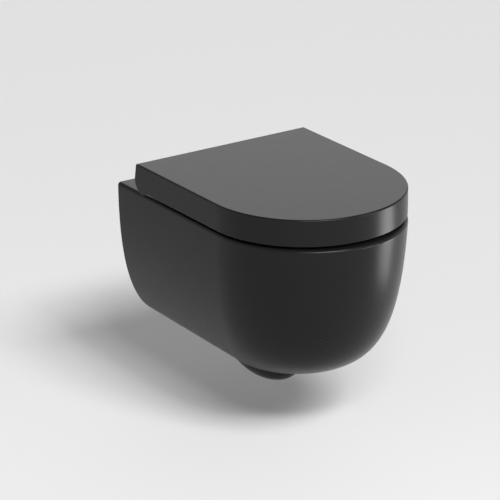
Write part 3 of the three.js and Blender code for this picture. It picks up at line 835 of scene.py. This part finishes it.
def lid_ring(z, inset, back):
    half_width, front, nose = lid_high.x - inset, lid_low.y + inset, LID["nose"] - inset
    return d_ring(half_width, back, front, nose, z, LID["power"], counts=(16, 24, 128))


def make_lid():
    top = lid_high.z
    axis = hinge_axis
    ear_back = lid_high.y
    ear = ear_back - axis.y
    edge, low_edge, skin = LID["edge"], LID["low_edge"], LID["skin"]
    rings = []
    for below in reversed(edge_levels(low_edge, 4)):
        rings.append(lid_ring(LID["skirt_bottom"] + below, round_over(low_edge, below), ear_back))
    rings.append(lid_ring(axis.z, 0, ear_back))
    for below in edge_levels(edge, 8):
        stand_back = round_over(edge, below)
        rings.append(lid_ring(top - below, stand_back, LID["back"] - stand_back))
    lid = loft("lid", rings)

    # below the axis the back is round about it
    wide = lid_high.x
    far = 60 * MM
    low_back = (-wide - MM, axis.y, axis.z - far), (wide + MM, axis.y + far, axis.z)
    cut(lid, box("back", *low_back))
    join(lid, rod("ears", "x", ear, (-wide, wide), axis, edge=low_edge, sides=144))

    # the hollow between the skirts, open below, with a notch at the back for each hinge block
    inner = ear - skin
    inner_back = axis.y + inner
    ceiling = top - LID["plate"]
    soft = LID["inner_edge"]
    hollow_rings = [lid_ring(axis.z, skin, inner_back)]
    for below in edge_levels(soft, 6):
        stand_back = round_over(soft, below)
        hollow_rings.append(lid_ring(ceiling - below, skin + stand_back, inner_back - stand_back))
    below_rings = [lid_ring(z, skin, axis.y) for z in (axis.z - 30 * MM, axis.z + 0.01 * MM)]
    room = wide - skin
    near, away = LID["notch"]
    rolled = (-room, axis.y - MM, axis.z - far), (room, axis.y + far, axis.z - LID["roll_end"])
    tools = [
        loft("hollow", hollow_rings),
        loft("below", below_rings),
        rod("inside of the ears", "x", inner, (-room, room), axis, sides=144),
        box("rolled edge", *rolled),
    ]
    notch_top = ceiling + LID["notch_rise"]
    for low, high in ((-away, -near), (near, away)):
        notch = (low, axis.y, axis.z - far), (high, axis.y + far, notch_top)
        tools.append(box("notch", *notch))
    cut(lid, *tools)

    # two lugs under the plate carry the hinge pins
    lug, spread = LID["lug_radius"], LID["lug_spread"]
    up = ceiling - axis.z + MM
    outline = [(-lug - spread, up), *arc(lug, math.pi, TURN, 24), (lug, up)]
    for _, side in SIDES:
        ends = sorted(side * x for x in LID["lug"])
        join(lid, prism("lug", outline, "x", ends, axis))
        cut(lid, rod("bore", "x", PIN_BORE, (ends[0] - MM, ends[1] + MM), axis))
    stand_for(lid, "lid_shell")


make_lid()

# -------------------------------------------------- seat


def seat_ring(z, edge):
    """The seat's outline, moved in by its edge; its front has the lid's curve."""
    return d_ring(
        seat_high.x - edge,
        SEAT["back"] - edge,
        seat_low.y + edge,
        SEAT["nose"] - edge,
        z,
        LID["power"],
        counts=(16, 24, 112),
    )


def make_seat():
    axis = hinge_axis
    # the seat stands as far above its buffers as they stand above the deck
    bottom, top = 2 * middle("seat_buffer_front_left").z - DECK, seat_high.z
    edge, under = SEAT["edge"], SEAT["low_edge"]
    rings = []
    for below in reversed(edge_levels(under, 5)):
        rings.append(seat_ring(bottom + below, round_over(under, below)))
    for below in edge_levels(edge, 9):
        rings.append(seat_ring(top - below, round_over(edge, below)))
    seat = loft("seat", rings)

    def hole_ring(z, grow):
        half_width = SEAT["hole_half_width"] + grow
        half_length = SEAT["hole_half_length"] + grow
        return ellipse_ring(SEAT["hole_y"], half_width, half_length, z, 128)

    rings = [hole_ring(bottom - MM, under)]
    for below in reversed(edge_levels(under, 5)):
        rings.append(hole_ring(bottom + below, round_over(under, below)))
    for below in edge_levels(edge, 9):
        rings.append(hole_ring(top - below, round_over(edge, below)))
    rings.append(hole_ring(top + MM, edge))
    cut(seat, loft("hole", rings))

    # the tongue starts inside the ring, runs back to the axis and ends in a half round about it
    radius, half_width = SEAT["tongue_radius"], SEAT["tongue"]
    reach = SEAT["back"] - axis.y - 30 * MM
    outline = [(reach, -radius), *arc(radius, -math.pi / 2, math.pi / 2, 32), (reach, radius)]
    tongue = prism("tongue", outline, "x", (-half_width, half_width), axis)
    bevel(tongue, 0.8 * MM, 3, 60)
    join(seat, tongue)
    for _, side in SIDES:
        ends = sorted((side * SEAT["bore_start"], side * (half_width + MM)))
        cut(seat, rod("bore", "x", SEAT["tongue_bore"], ends, axis, sides=64))
    stand_for(seat, "seat_ring")


make_seat()

# -------------------------------------------------- hinge pieces


def make_damper(name):
    """A rotary damper: a barrel with a rolled groove, and a thinner neck at its outer end."""
    low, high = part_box(name)
    radius, length = (high.z - low.z) / 2, high.x - low.x
    out = 1 if middle(name).x > 0 else -1
    start = low.x if out > 0 else high.x
    groove = 0.6 * MM
    neck, neck_length = radius - 1.5 * MM, 7.5 * MM
    profile = [
        (0, 0),
        (radius - MM, 0),
        (radius, MM),
        (radius, length * 0.2),
        (radius - groove, length * 0.23),
        (radius, length * 0.26),
        (radius, length - neck_length - 0.5 * MM),
        (neck, length - neck_length),
        (neck, length),
        (0, length),
    ]
    profile = rounded(profile, 0.3 * MM, 2, closed=False)
    profile = [(across, start + out * along) for across, along in profile]
    stand_for(turned(name + "_fine", profile, "x", (0, hinge_axis.y, hinge_axis.z)), name)


def make_hinge_base(name, place):
    """Rosette and post in one; the button's end sits in the post's groove."""
    low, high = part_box(name)
    radius, foot, top = (high.x - low.x) / 2, low.z - DECK, high.z - DECK
    post, neck = POST["radius"], POST["radius"] - POST["groove"]
    flange = foot + POST["flange"]
    profile = [
        (0, foot + POST["bore_depth"]),
        (POST["bore"], foot + POST["bore_depth"]),
        (POST["bore"], foot),
        (radius - 0.6 * MM, foot),
        (radius, foot + 0.6 * MM),
        (radius - MM, flange),
        (post, flange),
        (post, 10 * MM),
        (neck, 11 * MM),
        (neck, 13 * MM),
        (post, 14 * MM),
        (post, top),
        (0, top),
    ]
    profile = rounded(profile, 0.5 * MM, 3, closed=False)
    stand_for(turned(name + "_fine", profile, "z", place, 64), name)


def make_plug(name, place):
    """Expansion plug: a sleeve whose foot swells under the deck."""
    low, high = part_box(name)
    bore, neck, swell = POST["bore"], 7.7 * MM, (high.x - low.x) / 2
    profile = [
        (bore, low.z),
        (swell - 2.5 * MM, low.z),
        (swell, low.z + 4 * MM),
        (swell - 0.4 * MM, low.z + 8 * MM),
        (swell - MM, low.z + 13 * MM),
        (neck, low.z + 15.6 * MM),
        (neck, high.z),
        (bore, high.z),
    ]
    stand_for(turned(name + "_fine", rounded(profile, MM, 3), "z", place, 48), name)


def make_hinge_block(name, place, post_top, button_z):
    """A block with a round top about the axis that drops over the post."""
    axis = hinge_axis
    low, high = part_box(name)
    round_top, foot = high.z - axis.z, low.z - axis.z
    half = (high.y - low.y) / 2 - 0.5 * MM
    outline = [(-half, foot), (half, foot), (half, 0), *arc(round_top, 0, math.pi, 28), (-half, 0)]
    block = prism(name + "_fine", outline, "x", (low.x, high.x), axis)
    bevel(block, 0.8 * MM, 3, 50)
    post = POST["radius"]
    button_ends = (low.y - MM, axis.y - post + MM)
    cut(
        block,
        rod("post bore", "z", post + 0.3 * MM, (low.z - MM, post_top + MM), place),
        rod("pin bore", "x", PIN_BORE, (low.x - MM, high.x + MM), axis),
        rod("button bore", "y", 3.3 * MM, button_ends, (place[0], 0, button_z)),
    )
    stand_for(block, name)


def make_hinge(side):
    axis = hinge_axis
    x = middle("hinge_base_" + side).x
    place = (x, axis.y, 0)
    make_hinge_base("hinge_base_" + side, (x, axis.y, DECK))

    name = "base_gasket_" + side
    low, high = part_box(name)
    ends = (low.z, high.z)
    gasket = tube(name + "_fine", "z", (high.x - low.x) / 2, 8 * MM, ends, place, 0.2 * MM)
    stand_for(gasket, name)

    name = "hinge_bolt_" + side
    low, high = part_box(name)
    radius = (high.x - low.x) / 2
    chamfer = 0.5 * MM
    turns = thread(radius, low.z + chamfer, high.z, MM)
    profile = [(0, low.z), (radius - chamfer, low.z), *turns, (0, high.z)]
    stand_for(turned(name + "_fine", profile, "z", place, 32), name)

    make_plug("expansion_plug_" + side, place)

    name = "hinge_nut_" + side
    low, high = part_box(name)
    radius = (high.y - low.y) / 2 / math.sin(math.pi / 3)
    nut = hex_solid(name + "_fine", "z", radius, (low.z, high.z), place)
    cut(nut, rod("bore", "z", 3.4 * MM, (low.z - MM, high.z + MM), place))
    stand_for(nut, name)

    button_z = middle("release_button_" + side).z
    post_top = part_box("hinge_base_" + side)[1].z
    make_hinge_block("hinge_block_" + side, place, post_top, button_z)

    name = "release_button_" + side
    low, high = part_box(name)
    head, stem = (high.x - low.x) / 2, 3 * MM
    head_end = low.y + 2.5 * MM
    profile = [(0, low.y), (head, low.y), (head, head_end), (stem, head_end)]
    profile += [(stem, high.y), (0, high.y)]
    profile = rounded(profile, 0.8 * MM, 4, closed=False)
    stand_for(turned(name + "_fine", profile, "y", (x, 0, button_z), 48), name)

    name = "hinge_pin_" + side
    low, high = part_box(name)
    pin = rod(name + "_fine", "x", (high.z - low.z) / 2, (low.x, high.x), axis, 0.6 * MM)
    stand_for(pin, name)

    name = "seat_bush_" + side
    low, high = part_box(name)
    ends = (low.x, high.x)
    bush = tube(name + "_fine", "x", (high.z - low.z) / 2, PIN_BORE, ends, axis, 0.5 * MM)
    stand_for(bush, name)


def make_buffer(name):
    """A soft pad with a domed edge, glued under the seat or the lid."""
    low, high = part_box(name)
    radius, height = (high.x - low.x) / 2, high.z - low.z
    profile = [
        (0, low.z),
        (radius * 0.55, low.z),
        (radius * 0.93, low.z + 0.2 * height),
        (radius, high.z),
        (0, high.z),
    ]
    profile = rounded(profile, 1.5 * MM, 5, closed=False)
    centre = ((low.x + high.x) / 2, (low.y + high.y) / 2, 0)
    stand_for(turned(name + "_fine", profile, "z", centre, 48), name)


for damper in ("lid_damper", "seat_damper"):
    make_damper(damper)
for side_name, _ in SIDES:
    make_hinge(side_name)
    for kind in ("seat_buffer_front", "seat_buffer_rear", "lid_buffer_front", "lid_buffer_rear"):
        make_buffer(f"{kind}_{side_name}")

# -------------------------------------------------- water connections


def make_pipe(node, bore, edge):
    low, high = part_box(node)
    radius = (high.x - low.x) / 2
    centre = (0, 0, (low.z + high.z) / 2)
    stand_for(tube(node + "_fine", "y", radius, bore, (low.y, high.y), centre, edge, 96), node)


def make_lip_seal(node, pipe, outer, bore, lips):
    """A sleeve seal about a pipe, with round lips on its outside."""
    low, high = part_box(node)
    centre = (0, 0, middle(pipe).z)
    pitch = (high.y - low.y) / lips
    valley = outer - min(1.2 * MM, 0.45 * (outer - bore))
    profile = [(bore, low.y), (outer, low.y)]
    for i in range(lips):
        start = low.y + pitch * (i + 0.55)
        profile += [(valley, start), (valley, start + 0.15 * pitch), (outer, start + 0.4 * pitch)]
    profile += [(outer, high.y), (bore, high.y)]
    stand_for(turned(node + "_fine", rounded(profile, 0.4 * MM, 2), "y", centre, 96), node)


def make_spreader():
    """A sleeve in the flush channel, with a plate before it that turns the water to both sides."""
    name = "flush_spreader"
    low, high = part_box(name)
    radius = (high.x - low.x) / 2
    centre = (0, 0, (low.z + high.z) / 2)
    plate_end = low.y + 4 * MM
    sleeve = (high.y - 36 * MM, high.y)
    spreader = tube(name + "_fine", "y", radius, 22 * MM, sleeve, centre, 0.8 * MM, 96)
    plate = rod("plate", "y", radius, (low.y, plate_end), centre, 1.5 * MM, 96)
    web_half, web_thick, web_from_centre = 8 * MM, 3.6 * MM, 24.2 * MM
    webs = []
    for side in (-1, 1):
        z = centre[2] + side * web_from_centre
        web_low = (-web_half, plate_end - MM, z - web_thick / 2)
        web_high = (web_half, sleeve[0] + MM, z + web_thick / 2)
        webs.append(box("web", web_low, web_high))
    join(spreader, plate, *webs)
    stand_for(spreader, name)


make_pipe("flush_pipe", 24.5 * MM, 0.8 * MM)
make_pipe("waste_connector", 55.5 * MM, 1.2 * MM)
make_lip_seal("flush_seal", "flush_pipe", 30.7 * MM, 27.8 * MM, 4)
make_lip_seal("waste_seal", "waste_connector", 55.2 * MM, 51.7 * MM, 3)
make_spreader()

# -------------------------------------------------- fixing to the wall


def make_stud(name, centre):
    low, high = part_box(name)
    radius = (high.x - low.x) / 2
    turns = thread(radius, low.y + MM, high.y - MM, 1.75 * MM)
    profile = [(0, low.y), (radius - MM, low.y), *turns, (radius - MM, high.y), (0, high.y)]
    stand_for(turned(name + "_fine", profile, "y", centre, 40), name)


def make_stud_sleeve(name, centre):
    low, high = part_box(name)
    flange, flange_end = (high.x - low.x) / 2, low.y + 2.7 * MM
    barrel = 9.6 * MM
    profile = [
        (STUD_BORE, low.y),
        (flange, low.y),
        (flange, flange_end),
        (barrel, flange_end),
        (barrel, high.y),
        (STUD_BORE, high.y),
    ]
    stand_for(turned(name + "_fine", rounded(profile, 0.5 * MM, 3), "y", centre, 64), name)


def make_bracket(name, centre, screw):
    """An angle bracket: a plate on the stud, bent forward into a lug for the clamping screw."""
    low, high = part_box(name)
    front = high.y - BRACKET["thick"]
    foot = low.z + BRACKET["foot"]
    side_view = [
        (high.y, high.z),
        (high.y, low.z),
        (low.y, low.z),
        (low.y, foot),
        (front, foot),
        (front, high.z),
    ]
    outline = rounded(side_view, BRACKET["bend"], 5)
    bracket = prism(name + "_fine", outline, "x", (low.x, high.x))
    deep = low.z + 8 * MM
    for side in (-1, 1):
        near, far = sorted(centre[0] + side * x for x in BRACKET["waist"])
        waist = (near, low.y - MM, low.z - MM), (far, front - 1.5 * MM, deep)
        cut(bracket, box("waist", *waist))
    cut(
        bracket,
        rod("stud hole", "y", STUD_BORE, (low.y - MM, high.y + MM), centre),
        rod("screw hole", "z", 4.4 * MM, (low.z - MM, deep), screw),
    )
    bevel(bracket, 0.4 * MM, 2, 50)
    stand_for(bracket, name)


def make_clamp_screw(name, centre):
    low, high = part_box(name)
    shank = 4 * MM
    head_top = low.z + 6 * MM
    screw = hex_solid(name + "_fine", "z", 7 * MM, (low.z, head_top), centre)
    profile = [(0, head_top - MM), (shank, head_top - MM)]
    profile += thread(shank, head_top + MM, high.z - MM)
    profile += [(shank - MM, high.z), (0, high.z)]
    join(screw, turned("shank", profile, "z", centre, 40))
    stand_for(screw, name)


def make_wall_fixing(side):
    centre = (middle("wall_stud_" + side).x, 0, 0)
    screw = (centre[0], middle("clamp_screw_" + side).y, 0)
    make_stud("wall_stud_" + side, centre)
    make_stud_sleeve("stud_sleeve_" + side, centre)
    make_bracket("fixing_bracket_" + side, centre, screw)

    name = "stud_washer_" + side
    low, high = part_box(name)
    radius, ends = (high.x - low.x) / 2, (low.y, high.y)
    washer = tube(name + "_fine", "y", radius, STUD_BORE, ends, centre, 0.4 * MM)
    stand_for(washer, name)

    name = "stud_nut_" + side
    low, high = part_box(name)
    nut = hex_solid(name + "_fine", "y", (high.z - low.z) / 2, (low.y, high.y), centre)
    cut(nut, rod("bore", "y", STUD_BORE, (low.y - MM, high.y + MM), centre))
    stand_for(nut, name)

    make_clamp_screw("clamp_screw_" + side, screw)


for side_name, _ in SIDES:
    make_wall_fixing(side_name)

# -------------------------------------------------- floor, light and camera

CAMERA = {
    "azimuth": -34.428,
    "elevation": 20.854,
    "distance": 5.505,
    "lens": 222.68,
    "sensor": 36,
}
TARGET = Vector((-0.0372, -0.2111, -0.0150))
NOSE = Vector((0.06, -0.5, 0))
FLOOR_Z = DECK - 0.400  # the rim of such a pan is about 400 mm above the floor
WORLD_LEVELS = (0.76, 0.12)  # at the horizon and overhead


def direction(azimuth, elevation):
    """Unit vector towards a camera or lamp; azimuth 0 is in front of the object, at -Y."""
    a, e = math.radians(azimuth), math.radians(elevation)
    return Vector((math.sin(a) * math.cos(e), -math.cos(a) * math.cos(e), math.sin(e)))


def make_floor():
    half = 60
    around = ((-half, -half), (half, -half), (half, half), (-half, half))
    floor = new_object("floor", [(x, y, FLOOR_Z) for x, y in around], [(0, 1, 2, 3)])
    finish = Finish("pale floor", (0.80, 0.80, 0.80), 0.9, specular=0.1)
    floor.data.materials.append(finish.material)


def aim(made, away):
    made.rotation_euler = away.to_track_quat("Z", "Y").to_euler()
    made.visible_camera = False
    scene.collection.objects.link(made)


def make_softbox(
    name, azimuth, elevation, distance, size, radiance, faces=NOSE, spread=180, colour=(1, 1, 1)
):
    """A plain rectangle of even light. A small spread in degrees keeps its light off the floor."""
    lamp = bpy.data.lights.new(name, "AREA")
    lamp.shape = "RECTANGLE"
    lamp.size, lamp.size_y = size
    lamp.energy = radiance * math.pi * size[0] * size[1]
    lamp.spread = math.radians(spread)
    lamp.color = colour
    placed = bpy.data.objects.new(name, lamp)
    away = direction(azimuth, elevation)
    placed.location = faces + away * distance
    aim(placed, away)


def make_key(azimuth, elevation, softness, strength):
    """The main light: far away, so that it lights the floor evenly, and wide, for soft shadows."""
    lamp = bpy.data.lights.new("key", "SUN")
    lamp.angle = math.radians(softness)
    lamp.energy = strength
    placed = bpy.data.objects.new("key", lamp)
    aim(placed, direction(azimuth, elevation))


def make_world():
    """Pale at the horizon, where it meets the floor, and darker overhead."""
    world = bpy.data.worlds.new("studio")
    world.use_nodes = True
    nodes, links = world.node_tree.nodes, world.node_tree.links
    place = nodes.new("ShaderNodeTexCoord")
    split = nodes.new("ShaderNodeSeparateXYZ")
    ramp = nodes.new("ShaderNodeValToRGB")
    ramp.color_ramp.interpolation = "EASE"
    for stop, level in zip(ramp.color_ramp.elements, WORLD_LEVELS):
        stop.color = (level, level, level, 1)
    links.new(place.outputs["Generated"], split.inputs["Vector"])
    links.new(split.outputs["Z"], ramp.inputs["Fac"])
    links.new(ramp.outputs["Color"], nodes["Background"].inputs["Color"])
    scene.world = world


def make_camera():
    data = bpy.data.cameras.new("camera")
    data.lens = CAMERA["lens"]
    data.sensor_width = CAMERA["sensor"]
    camera = bpy.data.objects.new("camera", data)
    away = direction(CAMERA["azimuth"], CAMERA["elevation"])
    camera.location = TARGET + away * CAMERA["distance"]
    camera.rotation_euler = away.to_track_quat("Z", "Y").to_euler()
    scene.collection.objects.link(camera)
    scene.camera = camera


scene.view_settings.view_transform = "Standard"
make_floor()
make_world()
make_key(azimuth=2, elevation=47, softness=22, strength=2.02)
make_softbox(
    "back",
    azimuth=145,
    elevation=23,
    distance=9,
    size=(6.6, 4.4),
    radiance=0.94,
    faces=TARGET,
    colour=WARM,
)
make_softbox("front", azimuth=-24, elevation=44, distance=4.4, size=(1.6, 0.6), radiance=26)
make_softbox(
    "fill",
    azimuth=38,
    elevation=4,
    distance=1.3,
    size=(1.0, 0.6),
    radiance=0.30,
    spread=30,
)
make_softbox(
    "strip",
    azimuth=68,
    elevation=-16,
    distance=0.58,
    size=(0.26, 0.28),
    radiance=0.58,
    spread=40,
)
make_camera()
